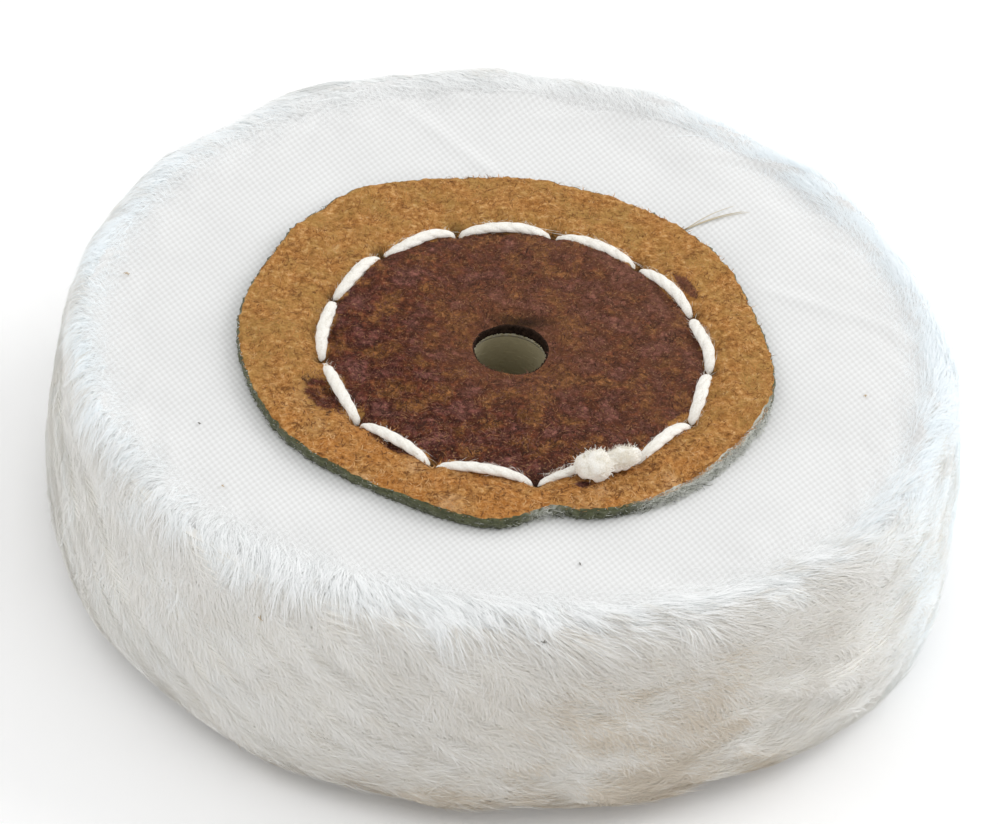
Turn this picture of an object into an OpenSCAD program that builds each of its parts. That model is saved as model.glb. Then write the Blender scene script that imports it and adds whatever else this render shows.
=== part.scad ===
// Leather-centred cloth polishing wheel, lying flat. The bore is along Z and the origin is
// at the middle of the bore. A pack of loose round cloth plies is sewn between two hand-cut
// leather discs with one long thread. All lengths are in millimetres.

/* [Cloth pack] */
// Number of round cloth plies in the pack
ply_count = 50; // [10:1:54]
// Thickness of one ply, as squeezed by the sewing
ply_t = 0.35; // [0.25:0.01:0.5]
// Diameter of a ply, measured over its combed-out edge
wheel_d = 78; // [66:1:120]
// How much the ply diameters wander from one to the next
ply_wander = 0.3; // [0:0.05:0.8]

/* [Arbor] */
// Diameter of the hole through leather and cloth
arbor_hole_d = 6.5; // [5:0.1:8]
// Diameter of the shallow dish pressed into the leather round the hole
dish_d = 11; // [9:0.5:14]
// Depth of that dish
dish_depth = 0.45; // [0.2:0.05:0.6]

/* [Leather] */
// Mean diameter of the hand-cut leather discs
leather_d = 46.9; // [43:0.1:56]
// Thickness of each leather disc
leather_t = 1.4; // [1:0.1:2.5]
// Depth of the groove that the stitches pull into the leather
groove_depth = 0.2; // [0.1:0.05:0.3]
// How uneven the hand-cut outline is, 0 for round
cut_wobble = 1; // [0:0.1:1.2]

/* [Sewing] */
// Number of needle holes, odd, so that two rounds of running stitch fill both faces
stitch_count = 13; // [9:2:15]
// Diameter of the circle of needle holes
stitch_circle_d = 34.3; // [31:0.1:36]
// Diameter of the sewing thread
thread_d = 1.15; // [0.8:0.05:1.3]
// Distance by which the stitch circle misses the middle of the wheel
stitch_off = 0.8; // [0:0.1:1]
// Unevenness of the needle holes round the circle, in degrees
stitch_wander = 2.9; // [0:0.1:4]
// Height of a stitch's middle above its ends
stitch_bow = 0.1; // [0:0.05:0.5]
// Diameter of the knot's larger lump
knot_d = 3; // [2.4:0.1:3.2]

/* [Hidden] */
ply_names = [for (i = [1:ply_count]) str("cloth_ply_", i < 10 ? "0" : "", i)];
$fn = 96;

cloth_white = [0.93, 0.92, 0.90];
suede_tan = [0.70, 0.44, 0.20];
thread_white = [0.91, 0.89, 0.84];

pack_z = ply_count * ply_t / 2;
face_z = pack_z + leather_t;
groove_z = face_z - groove_depth;
stitch_r = stitch_circle_d / 2;
stitch_c = stitch_off * [cos(-57), sin(-57)];
thread_r = thread_d / 2;
// Two passes of thread share each hole and turn half a turn round each other.
pass_off = thread_r + 0.05;
needle_hole_r = pass_off + thread_r + 0.06;
groove_w = 2.5;
// Steps in one pass, in the bend over a hole's rim, and in the middle of a stitch.
pass_n = 6;
bend_n = 2;
run_n = 3;
sides = 6;

// Needle hole j is at this angle. They count clockwise, and the knot lies just past knot_j.
function hole_a(j) = let (k = j % stitch_count, u = 360 * k / stitch_count)
    111.65 - u + stitch_wander * (cos(u - 155) + 0.64 * cos(2 * u + 28)
    + 0.31 * cos(3 * u - 68) + 0.28 * cos(4 * u + 52));
knot_j = floor(stitch_count / 2);

// A point at angle a, r from the middle of the stitch circle.
function at(a, r, z) = [stitch_c.x + r * cos(a), stitch_c.y + r * sin(a), z];
function deg(len) = len / stitch_r * 180 / PI;

// Pass k goes through the pack, down for even k and up for odd k.
function pass(k) = [for (i = [0:pass_n])
    let (down = k % 2 == 0, u = down ? 1 - i / pass_n : i / pass_n)
    let (b = 180 * (1 - u) + (down ? 180 : 0))
    at(hole_a(k + knot_j + 1) - deg(pass_off * cos(b)), stitch_r + pass_off * sin(b),
       groove_z * (2 * u - 1))];

// The bend over a hole's rim: how far along, and how high, for f from 0 to 1.
function bend(f) = [(needle_hole_r - pass_off) * (1 - cos(90 * f)),
    (needle_hole_r - pass_off) * sin(90 * f)];

// The stitch on one face, s = 1 or -1, from hole j to the next, between fractions f0 and f1.
function stitch(j, s, f0, f1) = let (a0 = hole_a(j) - deg(pass_off))
    let (a1 = hole_a(j + 1) + deg(pass_off) - (j % stitch_count == stitch_count - 1 ? 360 : 0))
    let (edge = deg(bend(1).x), n = 2 * bend_n + run_n)
    [for (i = [1:n - 1]) if (i / n > f0 && i / n < f1)
    let (head = i <= bend_n, tail = i >= n - bend_n)
    let (f = head ? i / bend_n : tail ? (n - i) / bend_n : 1)
    let (m = head ? 0 : tail ? 1 : (i - bend_n) / run_n)
    let (a = head ? a0 - deg(bend(f).x) : tail ? a1 + deg(bend(f).x)
         : a0 - edge + m * (a1 - a0 + 2 * edge))
    at(a, stitch_r, s * (groove_z + bend(f).y + stitch_bow * sin(180 * m)))];

passes = 2 * stitch_count;
path = concat(
    stitch(knot_j, 1, 0.5, 1),
    [for (k = [0:passes - 1]) each concat(pass(k),
        k < passes - 1 ? stitch(k + knot_j + 1, k % 2 == 0 ? -1 : 1, 0, 1) : [])],
    stitch(knot_j, 1, 0, 0.5));

function unit(v) = v / norm(v);
function ring(i) = let (p = path[i], last = len(path) - 1)
    let (t = unit(path[min(i + 1, last)] - path[max(i - 1, 0)]))
    let (out = unit([p.x - stitch_c.x, p.y - stitch_c.y, 0]))
    let (n1 = unit(out - (out * t) * t), n2 = cross(t, n1))
    [for (q = [0:sides - 1])
    p + thread_r * (cos(360 * q / sides) * n1 + sin(360 * q / sides) * n2)];

module tube_along_path() {
    rings = len(path);
    skin = [for (i = [0:rings - 2], q = [0:sides - 1])
        let (a = i * sides + q, b = i * sides + (q + 1) % sides)
        each [[a, b, b + sides], [a, b + sides, a + sides]]];
    caps = [[for (q = [sides - 1:-1:0]) q], [for (q = [0:sides - 1]) (rings - 1) * sides + q]];
    polyhedron([for (i = [0:rings - 1]) each ring(i)], concat(skin, caps));
}

module needle_holes(h) {
    for (j = [0:stitch_count - 1])
        translate(at(hole_a(j), stitch_r, -h / 2))
            cylinder(r = needle_hole_r, h = h);
}

module cloth_ply(i) {
    color(cloth_white)
        translate([0, 0, (i - 1) * ply_t - pack_z])
            difference() {
                cylinder(d = wheel_d - ply_wander * (1 + sin(i * 137.5)), h = ply_t);
                translate([0, 0, -1]) cylinder(d = arbor_hole_d, h = ply_t + 2);
                needle_holes(4);
            }
}

// Radius of the hand-cut outline at angle a.
function cut_r(a) = leather_d / 2 + cut_wobble * (0.68 * cos(a - 142) + 0.29 * cos(5 * a + 59)
    + 0.2 * cos(8 * a + 20) - 1.65 * exp(-pow((a + 77) / 7, 2)));

// A leather disc whose good face is up at face_z, turned by spin.
module leather_disc(spin) {
    difference() {
        translate([0, 0, pack_z])
            linear_extrude(leather_t)
                polygon([for (a = [-179:3:178]) cut_r(a) * [cos(a + spin), sin(a + spin)]]);
        translate([0, 0, pack_z - 1]) cylinder(d = arbor_hole_d, h = leather_t + 2);
        translate([0, 0, face_z - dish_depth])
            cylinder(d1 = arbor_hole_d, d2 = dish_d, h = dish_depth + 0.001);
        translate([stitch_c.x, stitch_c.y, groove_z])
            difference() {
                cylinder(r = stitch_r + groove_w / 2 + 0.2, h = 1);
                translate([0, 0, -1]) cylinder(r = stitch_r - groove_w / 2 - 0.2, h = 3);
            }
        needle_holes(4 * face_z);
    }
}

module upper_leather() {
    color(suede_tan) leather_disc(0);
}

module lower_leather() {
    color(suede_tan) mirror([0, 0, 1]) leather_disc(115);
}

module stitch_thread() {
    color(thread_white) tube_along_path();
}

// The two ends of the thread, tied and fluffed out, lie between two needle holes.
module thread_knot() {
    a = 0.54 * hole_a(knot_j) + 0.46 * hole_a(knot_j + 1);
    color(thread_white)
        union() {
            translate(at(a, stitch_r + 0.3, groove_z + knot_d / 2)) sphere(d = knot_d);
            translate(at(a + deg(0.82 * knot_d), stitch_r + 0.1, groove_z + 0.42 * knot_d))
                sphere(d = 0.84 * knot_d);
        }
}

for (i = [1:ply_count]) cloth_ply(i);
upper_leather();
lower_leather();
stitch_thread();
thread_knot();
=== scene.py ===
import math

import bpy
import numpy as np
from mathutils import Matrix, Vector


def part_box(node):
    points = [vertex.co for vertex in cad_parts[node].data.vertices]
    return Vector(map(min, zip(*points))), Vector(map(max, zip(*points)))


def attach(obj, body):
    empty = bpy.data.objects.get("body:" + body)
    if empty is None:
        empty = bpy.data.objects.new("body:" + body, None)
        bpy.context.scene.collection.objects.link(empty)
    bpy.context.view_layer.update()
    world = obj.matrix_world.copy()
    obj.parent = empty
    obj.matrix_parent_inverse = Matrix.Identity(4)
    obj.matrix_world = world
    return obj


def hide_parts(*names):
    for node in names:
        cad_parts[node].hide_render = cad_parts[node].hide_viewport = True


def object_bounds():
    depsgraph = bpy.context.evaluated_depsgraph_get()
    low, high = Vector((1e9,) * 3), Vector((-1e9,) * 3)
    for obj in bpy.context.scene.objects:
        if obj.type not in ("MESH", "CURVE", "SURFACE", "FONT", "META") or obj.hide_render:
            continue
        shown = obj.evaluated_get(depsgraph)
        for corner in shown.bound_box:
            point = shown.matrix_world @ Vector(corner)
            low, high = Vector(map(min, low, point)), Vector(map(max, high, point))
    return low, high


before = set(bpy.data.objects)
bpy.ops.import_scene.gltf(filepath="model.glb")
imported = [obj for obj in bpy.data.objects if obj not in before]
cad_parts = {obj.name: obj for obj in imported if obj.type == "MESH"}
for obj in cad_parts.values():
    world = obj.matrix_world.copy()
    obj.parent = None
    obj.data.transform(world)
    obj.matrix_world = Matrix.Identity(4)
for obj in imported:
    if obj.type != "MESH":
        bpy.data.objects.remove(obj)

CAD_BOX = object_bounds()
MM = 0.001
TURN = 2 * math.pi
BODY = "root"
PLIES = sorted(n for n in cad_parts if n.startswith("cloth_ply_"))


seeded = np.random.default_rng


def box_mm(node):
    low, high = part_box(node)
    return np.array(low) / MM, np.array(high) / MM


def heading(a):
    return np.array([math.cos(a), math.sin(a)])


# ---- Sizes in millimetres, read from the frame where it has them. RIM_R turns an angle into a
# way round the plush. The leathers' cut edges are bleached round the angle PALE_EDGE, and at
# NOTCH degrees, where the upper one is nicked.
PACK_TOP = box_mm(PLIES[-1])[1][2]
LEATHER_TOP = box_mm("upper_leather")[1][2]
FLOOR_Z = CAD_BOX[0][2] / MM
PLY_T = PACK_TOP * 2 / len(PLIES)
BORE_R = 3.25
STITCHES = 13
STITCH_R = 17.15
STITCH_C = 0.8 * heading(math.radians(-57))
RIM_R = 38.0
PALE_EDGE = math.radians(-32)
NOTCH = -78
KNOT_J = STITCHES // 2
WARP, WEFT, WEAVE_TURN = 0.325, 0.445, math.radians(-2.3)


# ---- Small helpers
def unit(v):
    return v / np.maximum(np.linalg.norm(v, axis=-1, keepdims=True), 1e-12)


def smooth(x, low, high):
    t = np.clip((x - low) / (high - low), 0, 1)
    return t * t * (3 - 2 * t)


def bell(x):
    return np.exp(-(x**2))


def polar(r, theta, z):
    return np.stack(np.broadcast_arrays(r * np.cos(theta), r * np.sin(theta), z), -1)


def waves(seed, x, y, size, count=14):
    """Smooth seeded noise of about one unit, with features of the given size."""
    r = seeded(seed)
    a, k = r.uniform(0, TURN, count), r.uniform(0.5, 1.5, count) * TURN / size
    p = r.uniform(0, TURN, count)
    out = np.zeros(np.broadcast(x, y).shape)
    for i in range(count):
        out += np.cos(k[i] * (np.cos(a[i]) * x + np.sin(a[i]) * y) + p[i])
    return out * math.sqrt(2 / count)


def make_mesh(name, points, faces, materials, slots=None, shade=True):
    """An object from points in mm and a list of face arrays, quads and triangles."""
    mesh = bpy.data.meshes.new(name)
    faces = [np.asarray(f, dtype=np.int32) for f in faces if len(f)]
    total = sum(f.size for f in faces)
    count = sum(len(f) for f in faces)
    mesh.vertices.add(len(points))
    mesh.vertices.foreach_set("co", (np.asarray(points) * MM).astype(np.float32).ravel())
    mesh.loops.add(total)
    mesh.loops.foreach_set("vertex_index", np.concatenate([f.ravel() for f in faces]))
    sizes = np.concatenate([np.full(len(f), f.shape[1]) for f in faces])
    mesh.polygons.add(count)
    mesh.polygons.foreach_set(
        "loop_start", np.concatenate([[0], np.cumsum(sizes)[:-1]]).astype(np.int32)
    )
    mesh.polygons.foreach_set("use_smooth", np.full(count, shade))
    if slots is not None:
        mesh.polygons.foreach_set("material_index", np.asarray(slots, dtype=np.int32))
    for m in materials:
        mesh.materials.append(m)
    mesh.update(calc_edges=True)
    mesh.validate()
    obj = bpy.data.objects.new(name, mesh)
    bpy.context.scene.collection.objects.link(obj)
    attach(obj, BODY)
    return obj


def ring_faces(rings, around, first=0, flip=False, closed=False):
    """Quads between rings of points laid one after another, and back to the first if closed."""
    count = rings if closed else rings - 1
    i, q = np.meshgrid(np.arange(count), np.arange(around), indexing="ij")
    near, far = first + i * around, first + (i + 1) % rings * around
    after = (q + 1) % around
    f = np.stack([near + q, near + after, far + after, far + q], -1).reshape(-1, 4)
    return f[:, ::-1] if flip else f


ROUND = [(math.cos(a), math.sin(a)) for a in (0.0, 2.094, 4.189)]
RIBBON = [(1.0, 0.1), (-1.0, 0.1), (0.0, -0.5)]


def strands(name, curves, base, materials, picks, up=None, tip=0.25):
    """Closed tapering fibres along curves of shape (n, k, 3); base is each one's half width.

    With up given they are flat like cotton staple, lying broad side up; else round."""
    n, k, _ = curves.shape
    tangent = unit(np.gradient(curves, axis=1))
    r = seeded(n * 7 + k)
    ref = r.normal(size=(n, 1, 3)) if up is None else up + 0.11 * r.normal(size=(n, 1, 3))
    b = unit(ref - (ref * tangent).sum(-1, keepdims=True) * tangent)
    a = np.cross(tangent, b)
    section = ROUND if up is None else RIBBON
    sides = len(section)
    taper = np.interp(np.linspace(0, 1, k), [0, 0.5, 1], [1, 0.85, tip])
    radius = (base[:, None] * taper[None, :])[:, : k - 1, None]
    line, a, b = (v[:, : k - 1] for v in (curves, a, b))
    rings = np.stack([line + radius * (x * a + y * b) for x, y in section], 2)
    points = np.concatenate([rings.reshape(n, -1, 3), curves[:, -1:]], axis=1)
    per, last = (k - 1) * sides + 1, (k - 2) * sides
    quads = ring_faces(k - 1, sides, flip=True)
    tris = [[per - 1, last + (q + 1) % sides, last + q] for q in range(sides)]
    tris = np.array(tris + [list(range(sides))])
    start = (np.arange(n) * per)[:, None, None]
    faces = [(start + quads).reshape(-1, 4), (start + tris).reshape(-1, 3)]
    slots = np.concatenate([np.repeat(picks, len(quads)), np.repeat(picks, len(tris))])
    return make_mesh(name, points.reshape(-1, 3), faces, materials, slots, up is None)


# ---- Materials
def srgb(r, g, b):
    return tuple(
        (c / 255 / 12.92) if c <= 10 else ((c / 255 + 0.055) / 1.055) ** 2.4
        for c in (r, g, b)
    ) + (1.0,)


def new_material(name, roughness, specular, colour=None):
    """A material with one even colour, if it's given, and its shader's inputs."""
    mat = bpy.data.materials.new(name)
    mat.use_nodes = True
    inputs = mat.node_tree.nodes["Principled BSDF"].inputs
    inputs["Roughness"].default_value = roughness
    inputs["Specular IOR Level"].default_value = specular
    if colour is not None:
        inputs["Base Color"].default_value = colour
    return mat, inputs


class Nodes:
    """Short calls for building one material's node tree."""

    def __init__(self, name, roughness=0.9, sheen=0.0, specular=0.3):
        self.mat, self.inputs = new_material(name, roughness, specular)
        self.inputs["Sheen Weight"].default_value = sheen
        self.inputs["Sheen Roughness"].default_value = 0.5
        self.tree = self.mat.node_tree
        self.coord = self.tree.nodes.new("ShaderNodeTexCoord").outputs["Object"]

    def link(self, a, b):
        self.tree.links.new(a, b)

    def mapped(self, turn=0.0, tall=1.0):
        m = self.tree.nodes.new("ShaderNodeMapping")
        m.inputs["Scale"].default_value = (1, 1, tall)
        m.inputs["Rotation"].default_value = (0, 0, turn)
        self.link(self.coord, m.inputs["Vector"])
        return m.outputs["Vector"]

    def across(self, vector=None):
        """The x and y of the place, in metres."""
        n = self.tree.nodes.new("ShaderNodeSeparateXYZ")
        self.link(vector or self.coord, n.inputs[0])
        return n.outputs[0], n.outputs[1]

    def noise(self, size_mm, detail=3.0, rough=0.55, vector=None):
        n = self.tree.nodes.new("ShaderNodeTexNoise")
        n.inputs["Scale"].default_value = 1.0 / (size_mm * MM)
        n.inputs["Detail"].default_value = detail
        n.inputs["Roughness"].default_value = rough
        self.link(vector or self.coord, n.inputs["Vector"])
        return n.outputs["Fac"]

    def ramp(self, value, *stops):
        """A colour by value; each stop is a place from 0 to 1 and a colour's three numbers."""
        n = self.tree.nodes.new("ShaderNodeValToRGB")
        ramp = n.color_ramp
        for element, (at, *rgb) in zip(ramp.elements, (stops[0], stops[-1])):
            element.position, element.color = at, srgb(*rgb)
        for at, *rgb in stops[1:-1]:
            ramp.elements.new(at).color = srgb(*rgb)
        self.link(value, n.inputs["Fac"])
        return n.outputs["Color"]

    def fill(self, sockets, values):
        for socket, value in zip(sockets, values):
            if hasattr(value, "is_linked"):
                self.link(value, socket)
            else:
                socket.default_value = value

    def mix(self, factor, a, b, blend="MIX"):
        n = self.tree.nodes.new("ShaderNodeMix")
        n.data_type, n.blend_type = "RGBA", blend
        self.fill((n.inputs[0], n.inputs[6], n.inputs[7]), (factor, a, b))
        return n.outputs[2]

    def math(self, op, a, b=0.0, clamp=False):
        n = self.tree.nodes.new("ShaderNodeMath")
        n.operation, n.use_clamp = op, clamp
        self.fill(n.inputs, (a, b))
        return n.outputs[0]

    def times(self, a, b, clamp=False):
        return self.math("MULTIPLY", a, b, clamp)

    def plus(self, a, b, clamp=False):
        return self.math("ADD", a, b, clamp)

    def minus(self, a, b, clamp=False):
        return self.math("SUBTRACT", a, b, clamp)

    def radius(self):
        """The distance from the arbor's axis, in metres."""
        x, y = self.across()
        return self.math("SQRT", self.plus(self.times(x, x), self.times(y, y)))

    def attribute(self, name):
        n = self.tree.nodes.new("ShaderNodeAttribute")
        n.attribute_name = name
        return n.outputs["Fac"]

    def done(self, colour, height, depth_mm, strength):
        """The material, with its colour and with a bump of the given depth."""
        n = self.tree.nodes.new("ShaderNodeBump")
        n.inputs["Strength"].default_value = strength
        n.inputs["Distance"].default_value = depth_mm * MM
        self.link(height, n.inputs["Height"])
        self.link(colour, self.inputs["Base Color"])
        self.link(n.outputs["Normal"], self.inputs["Normal"])
        return self.mat


def cotton_cloth(name, woven):
    """Muslin with a soiled ring round the hole. Only a face cloth shows its plain weave."""
    n = Nodes(name, roughness=0.95, sheen=0.15, specular=0.15)
    fine = n.noise(0.12, 2)
    white = n.ramp(n.noise(7.0, 3), (0.3, 231, 232, 232), (0.7, 237, 238, 238))
    white = n.mix(n.times(fine, 0.25), white, srgb(214, 214, 213))
    radius = n.radius()
    soiled = n.minus(1.0, n.math("DIVIDE", n.minus(radius, 3.4 * MM), 1.2 * MM), True)
    colour = n.mix(soiled, white, srgb(160, 150, 118))
    if not woven:
        rim = n.times(n.minus(radius, 34 * MM), 0.5 / MM, True)
        return n.done(n.mix(rim, colour, srgb(234, 232, 227)), fine, 0.03, 0.6)
    u, v = n.across(n.mapped(-WEAVE_TURN))
    over = n.times(
        n.math("COSINE", n.times(u, math.pi / (WARP * MM))),
        n.math("COSINE", n.times(v, math.pi / (WEFT * MM))),
    )
    # Painted shade and sheen: the cloth is darker in the gaps between crossings and lighter on the
    # crossings.
    under = n.times(n.minus(1.0, over), 0.5)
    colour = n.mix(n.times(under, 0.36), colour, srgb(176, 174, 170))
    return n.done(colour, n.plus(over, fine), 0.02, 0.6)


def twine_material():
    n = Nodes("cotton_twine", roughness=0.9, sheen=0.3, specular=0.2)
    fine = n.noise(0.14, 3)
    return n.done(n.ramp(fine, (0.3, 232, 227, 215), (0.7, 249, 247, 242)), fine, 0.05, 0.8)


def suede_material():
    """Tan suede, dressed dark brown inside the stitches, more orange and rougher in front."""
    n = Nodes("suede_top", roughness=0.95, specular=0.1)
    coarse, mid, fine = n.noise(2.6, 3), n.noise(0.6, 4, 0.7), n.noise(0.22, 3, 0.65)
    x, y = n.across()
    front = n.minus(n.times(y, -0.09 / MM), 0.6, True)

    tan = n.ramp(
        mid, (0.3, 116, 76, 38), (0.45, 160, 110, 58), (0.57, 190, 140, 82), (0.7, 222, 180, 128)
    )
    dull = n.ramp(coarse, (0.4, 0, 0, 0), (0.62, 200, 200, 200))
    dull = n.times(dull, n.minus(1.0, n.times(front, 0.8)))
    tan = n.mix(dull, tan, srgb(166, 132, 74))
    blot = n.noise(3.0, 2, 0.6, n.mapped(0.4))
    warm = n.times(n.times(n.minus(blot, 0.46), 7.0, True), 0.3)
    tan = n.mix(n.times(warm, n.plus(front, 0.25, True)), tan, srgb(196, 120, 50))
    faded = n.times(n.times(n.minus(0.44, blot), 7.0, True), 0.4)
    tan = n.mix(n.times(faded, front), tan, srgb(224, 184, 138))

    hues = n.ramp(
        n.noise(2.2, 2, 0.5, n.mapped(1.1)),
        (0.36, 162, 110, 66), (0.46, 128, 74, 52), (0.55, 110, 62, 52), (0.66, 150, 98, 90),
    )
    grain = n.ramp(mid, (0.34, 112, 106, 104), (0.5, 178, 174, 172), (0.66, 255, 250, 246))
    dark = n.mix(1.0, hues, grain, "MULTIPLY")
    # Painted light: the dark middle is lighter towards the hole, fading out by about 10 mm, where
    # the dish's slopes catch the light.
    near = n.times(n.minus(1.6, n.math("DIVIDE", n.radius(), 6 * MM), True), 0.35)
    dark = n.mix(near, dark, srgb(132, 88, 60))
    # Painted sheen: the dark middle is lighter towards the back right, where the key lamp lies.
    sheen_slant = n.times(n.plus(x, y), 0.014 / MM)
    dark = n.mix(n.times(n.plus(sheen_slant, 0.2, True), 0.7), dark, srgb(132, 92, 68))

    edge = n.plus(n.attribute("stain"), n.times(n.minus(mid, 0.5), 1.6))
    colour = n.mix(n.times(n.plus(edge, 0.1), 3.0, True), tan, dark)
    deep = n.times(n.minus(0.44, fine), 5.0, True)
    deep = n.times(deep, n.plus(n.times(front, 0.25), 0.5))
    colour = n.mix(deep, colour, srgb(72, 40, 20))
    pale = n.times(n.minus(fine, 0.56), 5.0, True)
    pale = n.times(pale, n.plus(n.times(front, 0.25), 0.42))
    colour = n.mix(pale, colour, srgb(216, 168, 122))
    # Painted shade: near black in the needle holes and on the far slope of the hole's dish.
    colour = n.mix(n.attribute("pit_shade"), colour, srgb(30, 26, 16))
    return n.done(colour, n.plus(mid, fine), 0.16, 0.9)


def cut_material():
    """The cut edge: a grey-green tanned core between tan skins."""
    n = Nodes("suede_cut_edge", roughness=0.95, sheen=0.2, specular=0.15)
    mid, fine = n.noise(0.9, 4, 0.6, n.mapped(tall=3.5)), n.noise(0.22, 3, 0.6)
    core = n.ramp(mid, (0.3, 48, 50, 30), (0.5, 74, 77, 50), (0.75, 112, 116, 88))
    core = n.mix(n.times(fine, 0.3), core, srgb(120, 124, 100))
    pale = n.mix(n.times(fine, 0.9), srgb(224, 224, 216), srgb(142, 145, 128))
    return n.done(n.mix(n.attribute("pale"), core, pale), n.plus(mid, fine), 0.14, 0.9)


def bore_material():
    n = Nodes("suede_bore_wall", roughness=0.95, specular=0.1)
    fine = n.noise(0.3, 3)
    return n.done(n.ramp(fine, (0.3, 30, 22, 18), (0.7, 62, 46, 36)), fine, 0.1, 0.8)


def fibres(kind, **shades):
    """Materials for a kind of fibre. Each fibre has one even shade, and their mix is the tone."""
    return [
        new_material(f"{kind}_{shade}", 0.85, 0.25, srgb(*rgb))[0] for shade, rgb in shades.items()
    ]


PLUSH = fibres(
    "plush",
    bright=(249, 250, 250),
    white=(243, 245, 245),
    warm=(237, 236, 233),
    grey=(228, 225, 219),
    beige=(217, 208, 194),
    # Painted light: a bluish white for fibres where the lamps fall.
    cool=(247, 251, 253),
)
LAMP_TINT = len(PLUSH) - 1
TAN = fibres(
    "nap_tan", pale=(202, 156, 104), orange=(192, 136, 76), mid=(164, 114, 62), deep=(120, 76, 38)
)
DARK = fibres(
    "nap_dark", tan=(142, 98, 66), mauve=(110, 70, 58), red=(90, 50, 36), brown=(60, 34, 24)
)
EDGE = fibres("edge", grey=(128, 132, 112), pale=(224, 225, 218), olive=(78, 80, 52))
LINT = fibres("lint", dark=(92, 90, 78), straw=(196, 168, 124))
STRAY = fibres("stray", fibre=(206, 194, 168))
COTTON = fibres("twine", white=(246, 244, 238), cream=(238, 233, 222))
WOVEN, EDGEWISE = cotton_cloth("muslin_woven", True), cotton_cloth("muslin_ply", False)
TWINE, SUEDE, CUT, BORE_WALL = twine_material(), suede_material(), cut_material(), bore_material()


# ---- The plush: where its surface lies, and which way it is combed
def outline(r0, reach, drop, rise, low_reach, low_drop):
    """Points r, z from the top face over the rim to the bottom face."""
    a = np.radians(np.linspace(0, 90, 40))
    top = PACK_TOP + 0.05
    flat = np.stack([np.linspace(18.0, r0, 12)[:-1], np.full(11, top)], -1)
    shoulder = np.stack(
        [r0 + reach * np.sin(a), top - drop * (1 - np.cos(a)) + rise * np.sin(2 * a)], -1
    )
    wall_z = np.linspace(top - drop, low_drop - top, 20)[1:-1]
    f = np.linspace(-1, 1, 20)[1:-1]
    wall = np.stack([r0 + reach + 0.25 * (1 - f**2), wall_z], -1)
    inner = r0 + reach - low_reach
    foot = np.stack([inner + low_reach * np.cos(a), low_drop - top - low_drop * np.sin(a)], -1)
    under = np.stack([np.linspace(inner, 18.0, 12)[1:], np.full(11, -top)], -1)
    return np.concatenate([flat, shoulder, wall, foot, under])


# The rim is combed down into a soft shoulder in front, and stands up crisp at the back.
SOFT = outline(34.6, 5.15, 4.8, 0.15, 1.3, 1.7)
CRISP = outline(37.0, 3.1, 2.2, 1.0, 1.3, 1.7)
PROFILE_S = np.concatenate([[0], np.cumsum(np.linalg.norm(np.diff(SOFT, axis=0), axis=1))]) - 16.6
RIM_END = PROFILE_S[-12]
FRONT = -1.57


def crispness(theta):
    return 1 - (0.5 - 0.5 * np.sin(theta)) ** 1.5


def profile(s, theta=FRONT):
    w = crispness(theta)
    r, z = (
        (1 - w) * np.interp(s, PROFILE_S, SOFT[:, c]) + w * np.interp(s, PROFILE_S, CRISP[:, c])
        for c in (0, 1)
    )
    return r, z


def plush_point(theta, s, height, around=None):
    """A point at angle theta and way s over the rim, height mm proud of the surface."""
    around = theta if around is None else around
    r, z = profile(s, around)
    r1, z1 = profile(s - 0.3, around)
    r2, z2 = profile(s + 0.3, around)
    nr, nz = -(z2 - z1), (r2 - r1)
    size = np.maximum(np.hypot(nr, nz), 1e-9)
    r, z = r + nr / size * height, z + nz / size * height
    return polar(r, theta, z)


def rim_outer(theta):
    """How far out the top cloth reaches under its fuzz."""
    return profile(way_at(theta, PACK_TOP - 0.15), theta)[0] - 0.25


def way_table():
    """For a grid of angles and heights, how far over the rim the surface is."""
    z, mid = np.linspace(-PACK_TOP, PACK_TOP, 401), PROFILE_S[13:-12]
    grid = []
    for t in np.radians(np.arange(0, 360, 2.0)):
        grid.append(np.interp(-z, np.maximum.accumulate(-profile(mid, t)[1]), mid))
    return np.array(grid)


WAY_S = way_table()


def top_way(theta, r):
    """How far over the rim the surface is at radius r on the top face."""
    way = np.zeros(r.shape)
    slot = np.round(np.degrees(theta) / 4).astype(int) % 90
    for i in range(90):
        pick = slot == i
        ahead = PROFILE_S[:50]
        way[pick] = np.interp(r[pick], profile(ahead, np.radians(i * 4.0))[0], ahead)
    return way


def way_at(theta, z):
    """How far over the rim the surface is at height z."""
    i = np.round(np.degrees(theta) / 2).astype(int) % len(WAY_S)
    k = np.clip((z + PACK_TOP) / (2 * PACK_TOP) * 400, 0, 399.999)
    low = k.astype(int)
    return WAY_S[i, low] * (1 - k + low) + WAY_S[i, low + 1] * (k - low)


def bulge(theta, at, wide):
    """One where theta is near the angle at, in degrees, falling off over wide degrees."""
    gap = (np.degrees(theta) - at + 180) % 360 - 180
    return bell(gap / wide)


def on_rim(theta):
    return RIM_R * np.cos(theta), RIM_R * np.sin(theta)


def lumps(theta, s):
    """Slow swells of the plush, in mm."""
    x, y = on_rim(theta)
    low = smooth(s, 7, 15)
    return (
        0.2 * waves(3, x + 0.7 * s, y - 0.9 * s, 17)
        + 0.1 * waves(4, x - s, y + 1.3 * s, 7)
        + 0.04 * waves(5, x - 1.5 * s, y + s, 3)
        + 1.5 * low * bulge(theta, -27, 17)
        + 0.5 * low * bulge(theta, -124, 30)
        + 0.5 * bulge(theta, 84, 40)
        - 0.6 * bulge(theta, 184, 26) * smooth(s, 1, 5)
    )


CREASES = [((21.5, 13.2), (36.0, 9.3)), ((-13.5, 34.5), (-3.0, 25.2))]


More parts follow.
